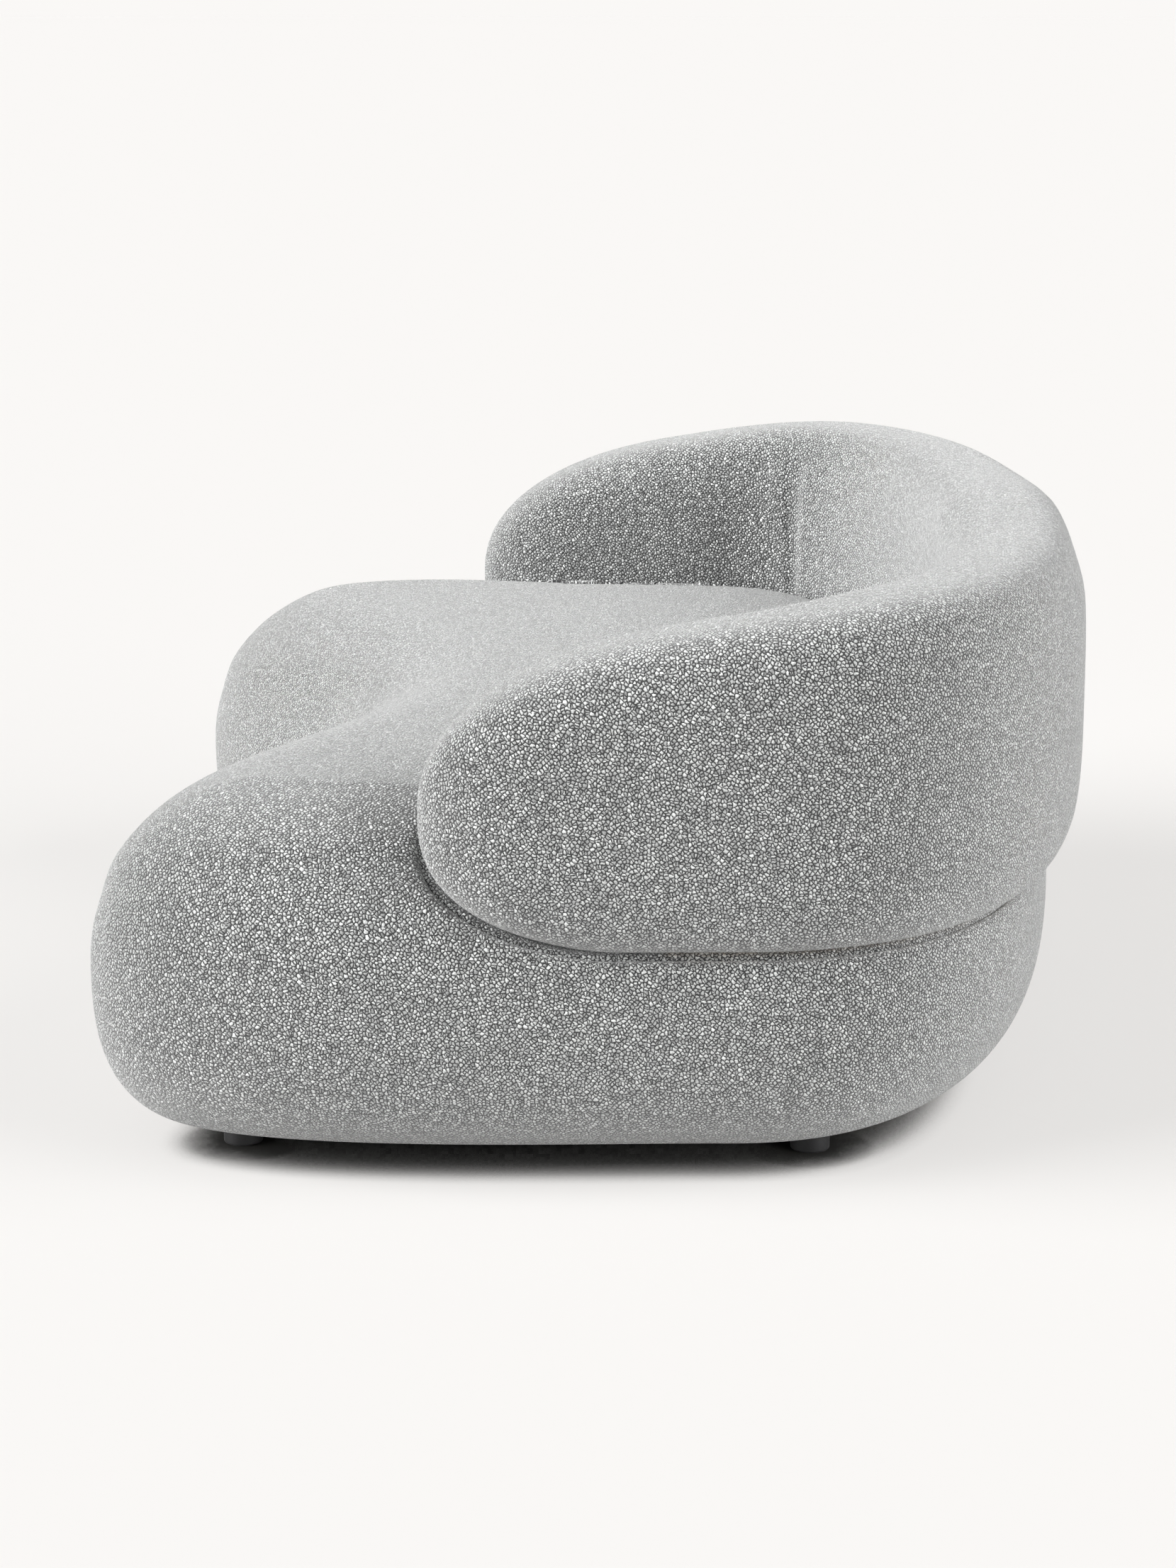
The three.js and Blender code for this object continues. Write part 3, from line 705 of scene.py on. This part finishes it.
def inside_ring(points, ring):
    """Which level points lie inside a ring, by counting the ring's crossings to one side."""
    start, end = ring, np.roll(ring, -1, axis=0)
    px, py = points[:, :1], points[:, 1:2]
    spans = (start[:, 1] > py) != (end[:, 1] > py)
    rise = np.where(end[:, 1] == start[:, 1], 1e-12, end[:, 1] - start[:, 1])
    cross = start[:, 0] + (py - start[:, 1]) / rise * (end[:, 0] - start[:, 0])
    return (np.sum(spans & (px < cross), axis=1) % 2) == 1


shape = bmesh.new()
shape.from_mesh(seat_piece.data)
low_faces = [face for face in shape.faces if face.normal.z < facing_down
             and face.calc_center_median().z < base_bottom + bottom_slack]
centres = np.array([tuple(face.calc_center_median())[:2] for face in low_faces])
gone = inside_ring(centres, draw_in(lip_inset + lip_edge))
bmesh.ops.delete(shape, geom=[face for face, out in zip(low_faces, gone) if out], context="FACES")
shape.to_mesh(seat_piece.data)
shape.free()
print("opened underneath:", int(gone.sum()), "faces taken out")

# %% [markdown]
# Where the band presses on the base, the cloth rolls over the edge of the ledge, and this makes
# the dark crease. The crease is found as the edges beside the band where the cut surface turns
# sharply. The faces beside it are divided twice, and every point near it sinks by
# depth * (1 - d / reach)^2, where d is its distance from the crease. A wider and shallower dip,
# with the cube in place of the square, stands for the foam that the band presses down, most of all
# in front of the back. Both sides of the crease sink the same way, so that the cloth never passes
# through itself: straight down along the seat, and halfway between the two sides elsewhere.
# Further away each point sinks along its own direction.

# %% Roll the cloth over the edge of the pocket
crease_turn = math.radians(25)
crease_search = 0.006
crease_over_bottom = 0.05
crease_blend = 0.02
seat_crease_low = 0.34
seat_crease_rise = 0.06
edge_lengths = (0.007, 0.0035)
roll_reach = 0.018
roll_depth = 0.011
side_dip_reach = 0.070
side_dip_depth = 0.004
seat_dip_reach = 0.170
arm_dip_depth = 0.006
rear_dip_depth = 0.024
rear_dip_start = 0.05
rear_dip_span = 0.35


def crease_edges(shape):
    """The pocket's edges as rows: both ends and the two face directions added up. An edge belongs
    to the pocket if its two faces turn by over 25 degrees and the band's cover is close by."""
    found = [edge for edge in shape.edges if len(edge.link_faces) == 2
             and edge.calc_face_angle(0) > crease_turn
             and (edge.verts[0].co.z + edge.verts[1].co.z) / 2 > base_bottom + crease_over_bottom
             and back_piece.closest_point_on_mesh((edge.verts[0].co + edge.verts[1].co) / 2,
                                                  distance=crease_search)[0]]
    return np.array([(*edge.verts[0].co, *edge.verts[1].co,
                      *(edge.link_faces[0].normal + edge.link_faces[1].normal))
                     for edge in found])


def nearest_edges(points, starts, ends):
    """For each point, its distance to the nearest straight edge and that edge's number."""
    along = ends - starts
    squared = (along ** 2).sum(axis=1)
    spans, numbers = [], []
    for part in np.array_split(points, max(1, len(points) * len(starts) // 4000000)):
        reached = part @ along.T - (starts * along).sum(axis=1)
        share = np.clip(reached / squared, 0, 1)
        spread = ((part ** 2).sum(axis=1)[:, None] - 2 * part @ starts.T
                  + (starts ** 2).sum(axis=1) - 2 * share * reached + share ** 2 * squared)
        numbers.append(spread.argmin(axis=1))
        spans.append(np.sqrt(np.maximum(spread.min(axis=1), 0)))
    return np.concatenate(spans), np.concatenate(numbers)


shape = bmesh.new()
shape.from_mesh(seat_piece.data)
shape.normal_update()
crease = crease_edges(shape)
starts, ends = crease[:, :3], crease[:, 3:6]
middles = (starts + ends) / 2
beside = ((middles[:, None, :] - middles[None, :, :]) ** 2).sum(axis=2) < crease_blend ** 2
seat_share = np.clip((middles[:, 2] - seat_crease_low) / seat_crease_rise, 0, 1)
seat_share = beside @ seat_share / beside.sum(axis=1)
facing = beside @ crease[:, 6:]
facing /= np.linalg.norm(facing, axis=1)[:, None]
facing = facing * (1 - seat_share[:, None]) + np.array((0, 0, 1)) * seat_share[:, None]
facing /= np.linalg.norm(facing, axis=1)[:, None]
for length in edge_lengths:
    shape.verts.ensure_lookup_table()
    spans = nearest_edges(np.array([tuple(vert.co) for vert in shape.verts]), starts, ends)[0]
    near = spans < roll_reach
    long_edges = [edge for edge in shape.edges if near[edge.verts[0].index]
                  and near[edge.verts[1].index] and edge.calc_length() > length]
    bmesh.ops.subdivide_edges(shape, edges=long_edges, cuts=1, use_grid_fill=True)
    shape.verts.index_update()
bmesh.ops.triangulate(shape, faces=[face for face in shape.faces if len(face.verts) > 4])
shape.to_mesh(seat_piece.data)
shape.free()
points = read_points(seat_piece.data)
spans, numbers = nearest_edges(points, starts, ends)
on_seat = seat_share[numbers]
rearward = np.clip((points[:, 1] - rear_dip_start) / rear_dip_span, 0, 1)
rearward = rearward ** 2 * (3 - 2 * rearward)
seat_dip_depth = arm_dip_depth + (rear_dip_depth - arm_dip_depth) * rearward
dip_reach = side_dip_reach + (seat_dip_reach - side_dip_reach) * on_seat
dip_depth = side_dip_depth + (seat_dip_depth - side_dip_depth) * on_seat
sunk = (roll_depth * np.clip(1 - spans / roll_reach, 0, 1) ** 2
        + dip_depth * np.clip(1 - spans / dip_reach, 0, 1) ** 3)
turn_reach = roll_reach + (seat_dip_reach - roll_reach) * on_seat
own = np.clip(spans / turn_reach, 0, 1)[:, None]
towards = facing[numbers] * (1 - own) + read_normals(seat_piece.data) * own
write_points(seat_piece.data, points - towards * sunk[:, None])
print("crease:", len(starts), "edges;", len(seat_piece.data.polygons), "faces in the seat cover")
skins = {"seat": bpy.data.objects.new("seat_skin", seat_piece.data.copy()),
         "back": bpy.data.objects.new("back_skin", back_piece.data.copy())}
thicken = seat_piece.modifiers.new("thickness", "SOLIDIFY")
thicken.thickness = cover_thickness
thicken.offset = -1

for piece, replaced in ((seat_piece, "seat_cover"), (back_piece, "back_cover")):
    piece.data.polygons.foreach_set("use_smooth", [True] * len(piece.data.polygons))
    piece.data.set_sharp_from_angle(angle=math.radians(38))
    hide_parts(replaced)
    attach(piece, "root")

# %% [markdown]
# The weave needs flat coordinates. Every face is laid flat along the nearest of 13 directions: the
# axes and the diagonals of a cube. No face is then further than 28 degrees from its direction, so
# the loops keep their size all over the sofa. The two flat axes are turned by 45 degrees, because
# the loops of this cloth lie in slanting rows.

# %% Lay the weave over the covers
corners = np.array([(x, y, z) for x in (-1, 0, 1) for y in (-1, 0, 1) for z in (-1, 0, 1)], float)
directions = corners[14:] / np.linalg.norm(corners[14:], axis=1)[:, None]
patch_shift = 0.371


def flat_axes(direction):
    """Two axes at right angles to the direction, turned by 45 degrees from level."""
    level = np.cross((0, 0, 1), direction)
    if np.linalg.norm(level) < 0.01:
        level = np.array((1.0, 0.0, 0.0))
    level /= np.linalg.norm(level)
    steep = np.cross(direction, level)
    return (level + steep) / math.sqrt(2), (steep - level) / math.sqrt(2)


def lay_weave(mesh):
    """Writes each face's flat coordinates, in metres, into the mesh's weave map."""
    count = len(mesh.polygons)
    normals = np.zeros(count * 3, dtype=np.float32)
    mesh.polygons.foreach_get("normal", normals)
    sizes = np.zeros(count, dtype=np.int32)
    mesh.polygons.foreach_get("loop_total", sizes)
    corner_points = np.zeros(len(mesh.loops), dtype=np.int32)
    mesh.loops.foreach_get("vertex_index", corner_points)
    nearest = np.argmax(np.abs(normals.reshape(-1, 3) @ directions.T), axis=1)
    nearest = np.repeat(nearest, sizes)
    first, second = (np.array(axes)[nearest] for axes in zip(*map(flat_axes, directions)))
    places = read_points(mesh)[corner_points]
    flat = np.column_stack([np.sum(places * first, axis=1), np.sum(places * second, axis=1)])
    flat += patch_shift * nearest[:, None]
    for layer in list(mesh.uv_layers):
        mesh.uv_layers.remove(layer)
    weave = mesh.uv_layers.new(name="weave")
    weave.data.foreach_set("uv", flat.astype(np.float32).ravel())


for piece in (seat_piece, back_piece):
    lay_weave(piece.data)
    print(piece.name, "has its weave laid along", len(directions), "directions")

# %% [markdown]
# Foam blocks have no crisp edges: they are cut by hot wire and glued, and the cover presses their
# corners round. Each foam solid from the CAD is copied, rebuilt as an even skin and smoothed, and
# held at least its cover's thickness inside the skin that was drawn for its cover. Under the
# crease the band presses it further down.

# %% Foam with pressed, rounded edges
foam_voxel = 0.010
foam_inside = 0.007
foam_crease_reach = 0.060
foam_crease_depth = 0.024
for skin in skins.values():
    bpy.context.scene.collection.objects.link(skin)
for name, cover in (("seat_foam", "seat"), ("side_foam", "seat"), ("back_foam", "back")):
    soft = bpy.data.objects.new(name + "_soft", nodes[name].data.copy())
    bpy.context.scene.collection.objects.link(soft)
    shape = bmesh.new()
    shape.from_mesh(soft.data)
    bmesh.ops.remove_doubles(shape, verts=shape.verts, dist=1e-5)
    shape.to_mesh(soft.data)
    shape.free()
    rebuilt = soft.modifiers.new("rebuilt", "REMESH")
    rebuilt.mode = "VOXEL"
    rebuilt.voxel_size = foam_voxel
    rounding = soft.modifiers.new("rounding", "SMOOTH")
    rounding.factor = 0.5
    rounding.iterations = 3
    press = soft.modifiers.new("press", "SHRINKWRAP")
    press.target = skins[cover]
    press.wrap_method = "NEAREST_SURFACEPOINT"
    press.wrap_mode = "INSIDE"
    press.offset = foam_inside
    bpy.context.view_layer.update()
    bake(soft)
    points = read_points(soft.data)
    spans, numbers = nearest_edges(points, starts, ends)
    sunk = foam_crease_depth * np.clip(1 - spans / foam_crease_reach, 0, 1) ** 2
    if cover == "seat":
        write_points(soft.data, points - facing[numbers] * sunk[:, None])
    soft.data.polygons.foreach_set("use_smooth", [True] * len(soft.data.polygons))
    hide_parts(name)
    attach(soft, "root")
    print(soft.name, len(soft.data.polygons), "faces")
for skin in skins.values():
    bpy.data.objects.remove(skin)

# %% [markdown]
# The six feet are turned plastic glides: a low cylinder with a softened rim and a recess for the
# screw's head. A profile of radius and height is carried round the axis. The ends of the profile
# are the rims of the screw hole, so the two caps are taken out and the hole's wall is bridged.

# %% Turned feet
foot_sides = 64
recess_radius = 0.008
recess_depth = 0.012
recess_chamfer = 0.0006
hole_radius = 0.0022
foot_rim = 0.003
rim_steps = 7


def turned(name, profile, centre):
    """A closed piece by turning rows of (radius, height) about an upright axis."""
    profile = np.array(profile)
    turn = np.linspace(0, 2 * math.pi, foot_sides, endpoint=False)
    rings = np.stack([
        centre[0] + profile[:, :1] * np.cos(turn),
        centre[1] + profile[:, :1] * np.sin(turn),
        np.broadcast_to(profile[:, 1:], (len(profile), foot_sides)),
    ], axis=2)
    faces = strip_faces(len(profile), foot_sides)
    count = len(profile) * foot_sides
    faces.append(list(range(foot_sides)))
    faces.append(list(range(count - foot_sides, count)))
    return add_piece(name, rings.reshape(-1, 3), faces)


feet = []
for number in range(1, 7):
    low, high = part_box("foot_%d" % number)
    radius = (high.x - low.x) / 2
    centre = ((low.x + high.x) / 2, (low.y + high.y) / 2)
    turns = np.linspace(0, math.pi / 2, rim_steps)
    lower = [(radius - foot_rim + foot_rim * math.sin(t), low.z + foot_rim - foot_rim * math.cos(t))
             for t in turns]
    upper = [(radius - foot_rim / 2 + foot_rim / 2 * math.cos(t),
              high.z - foot_rim / 2 + foot_rim / 2 * math.sin(t)) for t in turns]
    recess = [(hole_radius, high.z), (hole_radius, low.z + recess_depth),
              (recess_radius, low.z + recess_depth), (recess_radius, low.z + recess_chamfer),
              (recess_radius + recess_chamfer, low.z)]
    foot = turned("foot_turned_%d" % number, recess + lower + upper, centre)
    shape = bmesh.new()
    shape.from_mesh(foot.data)
    caps = [face for face in shape.faces if len(face.verts) == foot_sides]
    bmesh.ops.delete(shape, geom=caps, context="FACES_ONLY")
    loops = [edge for edge in shape.edges if edge.is_boundary]
    bmesh.ops.bridge_loops(shape, edges=loops)
    bmesh.ops.recalc_face_normals(shape, faces=shape.faces)
    shape.to_mesh(foot.data)
    shape.free()
    foot.data.polygons.foreach_set("use_smooth", [True] * len(foot.data.polygons))
    foot.data.set_sharp_from_angle(angle=math.radians(35))
    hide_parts("foot_%d" % number)
    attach(foot, "root")
    feet.append(foot)
print("feet:", len(feet))

# %% [markdown]
# Boucle is woven from a looped yarn. Each loop shows as a pale rounded nub about four millimetres
# wide, and between the nubs one sees down to the dark ground weave. A Voronoi pattern on the weave
# map gives the nubs, and noise bends it so that no row stays straight. Its cell colour sets each
# nub's own grey, and the distance to the cell's edge opens the dark gaps. Noise in space adds
# patches and fine fibres. Sheen stands for the loose fibres that brighten cloth seen at a slant.

# %% Boucle of the covers
noise_low, noise_high = 0.3, 0.7
nub_pitch = 0.0040
nub_stretch = (1.08, 0.92, 1)
nub_dark = (0.36, 0.367, 0.365, 1)
nub_light = (0.968, 0.985, 0.972, 1)
nub_wander = 0.0022
nub_disorder = 0.85
patch_strength = 0.05
clump_strength = 0.16
clump_gap_strength = 0.03
fray_strength = 0.10
fibre_strength = 0.25
nub_relief = 0.0032
gap_color = (0.007, 0.008, 0.008, 1)

boucle, tree, shader = new_finish("boucle_grey")
coords = add_node(tree, "ShaderNodeTexCoord").outputs["Object"]
weave_coords = add_node(tree, "ShaderNodeUVMap", {"uv_map": "weave"}).outputs["UV"]
wander = add_node(tree, "ShaderNodeTexNoise", {"noise_dimensions": "2D"},
                  {"Scale": 190.0, "Detail": 1.0}, {"Vector": weave_coords})
centred = add_node(tree, "ShaderNodeVectorMath", {"operation": "SUBTRACT"}, {1: (0.5, 0.5, 0.5)},
                   {0: wander.outputs["Color"]})
shifted = add_node(tree, "ShaderNodeVectorMath", {"operation": "MULTIPLY_ADD"},
                   {1: (nub_wander, nub_wander, nub_wander)},
                   {0: centred.outputs[0], 2: weave_coords}).outputs[0]
stretched = add_node(tree, "ShaderNodeVectorMath", {"operation": "MULTIPLY"}, {1: nub_stretch},
                     {0: shifted}).outputs[0]
cells = add_node(tree, "ShaderNodeTexVoronoi", {"voronoi_dimensions": "2D"},
                 {"Scale": 1 / nub_pitch, "Randomness": nub_disorder}, {"Vector": stretched})
edges = add_node(tree, "ShaderNodeTexVoronoi",
                 {"voronoi_dimensions": "2D", "feature": "DISTANCE_TO_EDGE"},
                 {"Scale": 1 / nub_pitch, "Randomness": nub_disorder}, {"Vector": stretched})
patches = add_node(tree, "ShaderNodeTexNoise", {}, {"Scale": 22.0, "Detail": 3.0},
                   {"Vector": coords})
own_grey = add_node(tree, "ShaderNodeSeparateColor", {}, {}, {"Color": cells.outputs["Color"]})
patch_tone = map_range(tree, patches.outputs["Fac"], noise_low, noise_high,
                       -patch_strength, patch_strength)
clumps = add_node(tree, "ShaderNodeTexNoise", {"noise_dimensions": "2D"},
                  {"Scale": 150.0, "Detail": 1.0}, {"Vector": weave_coords})
clump_tone = map_range(tree, clumps.outputs["Fac"], noise_low, noise_high,
                       -clump_strength, clump_strength)
shade = math_node(tree, "ADD", own_grey.outputs[0],
                  math_node(tree, "ADD", patch_tone, clump_tone))
nub_share = map_range(tree, shade, 0.0, 0.9, 0.0, 1.0, smooth=False)
nub_color = mix_colors(tree, nub_share, nub_dark, nub_light)
clump_gaps = map_range(tree, clumps.outputs["Fac"], noise_low, noise_high,
                       -clump_gap_strength, clump_gap_strength)
frays = add_node(tree, "ShaderNodeTexNoise", {"noise_dimensions": "2D"},
                 {"Scale": 650.0, "Detail": 2.0}, {"Vector": weave_coords})
fray_shift = map_range(tree, frays.outputs["Fac"], 0.25, 0.75,
                       -fray_strength, fray_strength, smooth=False)
gap_shift = math_node(tree, "ADD", fray_shift, clump_gaps)
opening = map_range(tree, math_node(tree, "ADD", edges.outputs["Distance"], gap_shift),
                    0.10, 0.26, 0.0, 1.0)
color = mix_colors(tree, opening, gap_color, nub_color)
dome = map_range(tree, cells.outputs["Distance"], 0.0, 0.75, 1.0, 0.0)
fibres = add_node(tree, "ShaderNodeTexNoise", {}, {"Scale": 1500.0, "Detail": 2.0},
                  {"Vector": coords})
fibre_height = math_node(tree, "MULTIPLY", fibres.outputs["Fac"], fibre_strength)
height = math_node(tree, "ADD", math_node(tree, "MULTIPLY", dome, opening), fibre_height)
bump = add_node(tree, "ShaderNodeBump", {}, {"Strength": 1.0, "Distance": nub_relief},
                {"Height": height})
tree.links.new(color, shader.inputs["Base Color"])
tree.links.new(bump.outputs[0], shader.inputs["Normal"])
shader.inputs["Roughness"].default_value = 0.82
shader.inputs["Specular IOR Level"].default_value = 0.3
shader.inputs["Sheen Weight"].default_value = 1.0
shader.inputs["Sheen Roughness"].default_value = 0.50
for piece in (seat_piece, back_piece):
    piece.data.materials.clear()
    piece.data.materials.append(boucle)
print("boucle:", round(nub_pitch * 1000, 1), "mm from nub to nub")

# %% [markdown]
# The hidden pieces get their own finishes: birch plywood with its grain, brown hardboard, striped
# webbing, pale open-cell foam, a black non-woven lining, black plastic and zinc-plated steel.

# %% Finishes of the frame, straps, foam, lining, feet and screws
def grain_finish(name, light, dark, stretch, scale, roughness, bump_depth):
    """Wood or board: noise stretched along one axis between two tones, with a little bump."""
    finish, tree, shader = new_finish(name)
    coords = add_node(tree, "ShaderNodeTexCoord").outputs["Object"]
    along = add_node(tree, "ShaderNodeMapping", {}, {"Scale": stretch}, {"Vector": coords})
    grain = add_node(tree, "ShaderNodeTexNoise", {}, {"Scale": scale, "Detail": 6.0,
                                                      "Distortion": 0.6},
                     {"Vector": along.outputs[0]})
    share = map_range(tree, grain.outputs["Fac"], noise_low, noise_high, 0.0, 1.0)
    tree.links.new(mix_colors(tree, share, dark, light), shader.inputs["Base Color"])
    bump = add_node(tree, "ShaderNodeBump", {}, {"Strength": 0.5, "Distance": bump_depth},
                    {"Height": grain.outputs["Fac"]})
    tree.links.new(bump.outputs[0], shader.inputs["Normal"])
    gloss = map_range(tree, grain.outputs["Fac"], noise_low, noise_high,
                      roughness + 0.08, roughness - 0.05)
    tree.links.new(gloss, shader.inputs["Roughness"])
    return finish


plywood = grain_finish("birch_plywood", (0.72, 0.55, 0.36, 1), (0.50, 0.34, 0.19, 1),
                       (0.6, 6.0, 9.0), 14.0, 0.62, 0.0006)
hardboard = grain_finish("brown_hardboard", (0.32, 0.19, 0.10, 1), (0.20, 0.11, 0.055, 1),
                         (1.0, 1.0, 1.0), 260.0, 0.55, 0.0003)
foam = grain_finish("pale_foam", (0.86, 0.83, 0.70, 1), (0.66, 0.62, 0.48, 1),
                    (1.0, 1.0, 1.0), 700.0, 0.9, 0.0008)
lining = grain_finish("black_lining", (0.035, 0.035, 0.037, 1), (0.012, 0.012, 0.013, 1),
                      (1.0, 1.0, 1.0), 900.0, 0.85, 0.0002)
foot_plastic = grain_finish("black_plastic", (0.014, 0.014, 0.015, 1), (0.008, 0.008, 0.009, 1),
                            (1.0, 1.0, 1.0), 1200.0, 0.5, 0.0001)
zinc = grain_finish("zinc_steel", (0.66, 0.66, 0.64, 1), (0.46, 0.47, 0.48, 1),
                    (1.0, 1.0, 1.0), 320.0, 0.34, 0.0001)
zinc.node_tree.nodes["Principled BSDF"].inputs["Metallic"].default_value = 1.0
webbing, tree, shader = new_finish("webbing")
coords = add_node(tree, "ShaderNodeTexCoord").outputs["Object"]
weave = add_node(tree, "ShaderNodeTexChecker", {},
                 {"Scale": 420.0, "Color1": (0.12, 0.10, 0.09, 1), "Color2": (0.30, 0.26, 0.22, 1)},
                 {"Vector": coords})
wear = add_node(tree, "ShaderNodeTexNoise", {}, {"Scale": 60.0, "Detail": 3.0}, {"Vector": coords})
tree.links.new(mix_colors(tree, math_node(tree, "MULTIPLY", wear.outputs["Fac"], 0.5),
                          weave.outputs["Color"], (0.20, 0.17, 0.14, 1)),
               shader.inputs["Base Color"])
weave_bump = add_node(tree, "ShaderNodeBump", {}, {"Strength": 0.6, "Distance": 0.0004},
                      {"Height": weave.outputs["Fac"]})
tree.links.new(weave_bump.outputs[0], shader.inputs["Normal"])
shader.inputs["Roughness"].default_value = 0.8


def finish_for(name):
    """The finish of a CAD node, by what it is."""
    if "strap" in name:
        return webbing
    if "screw" in name or "bolt" in name:
        return zinc
    if "panel" in name:
        return hardboard
    if "dust" in name:
        return lining
    return plywood


for name, node in nodes.items():
    if node.hide_render:
        continue
    node.data.materials.clear()
    node.data.materials.append(finish_for(name))
for piece in bpy.context.scene.objects:
    if piece.name.endswith("_soft"):
        piece.data.materials.clear()
        piece.data.materials.append(foam)
for foot in feet:
    foot.data.materials.append(foot_plastic)
print("finishes set")
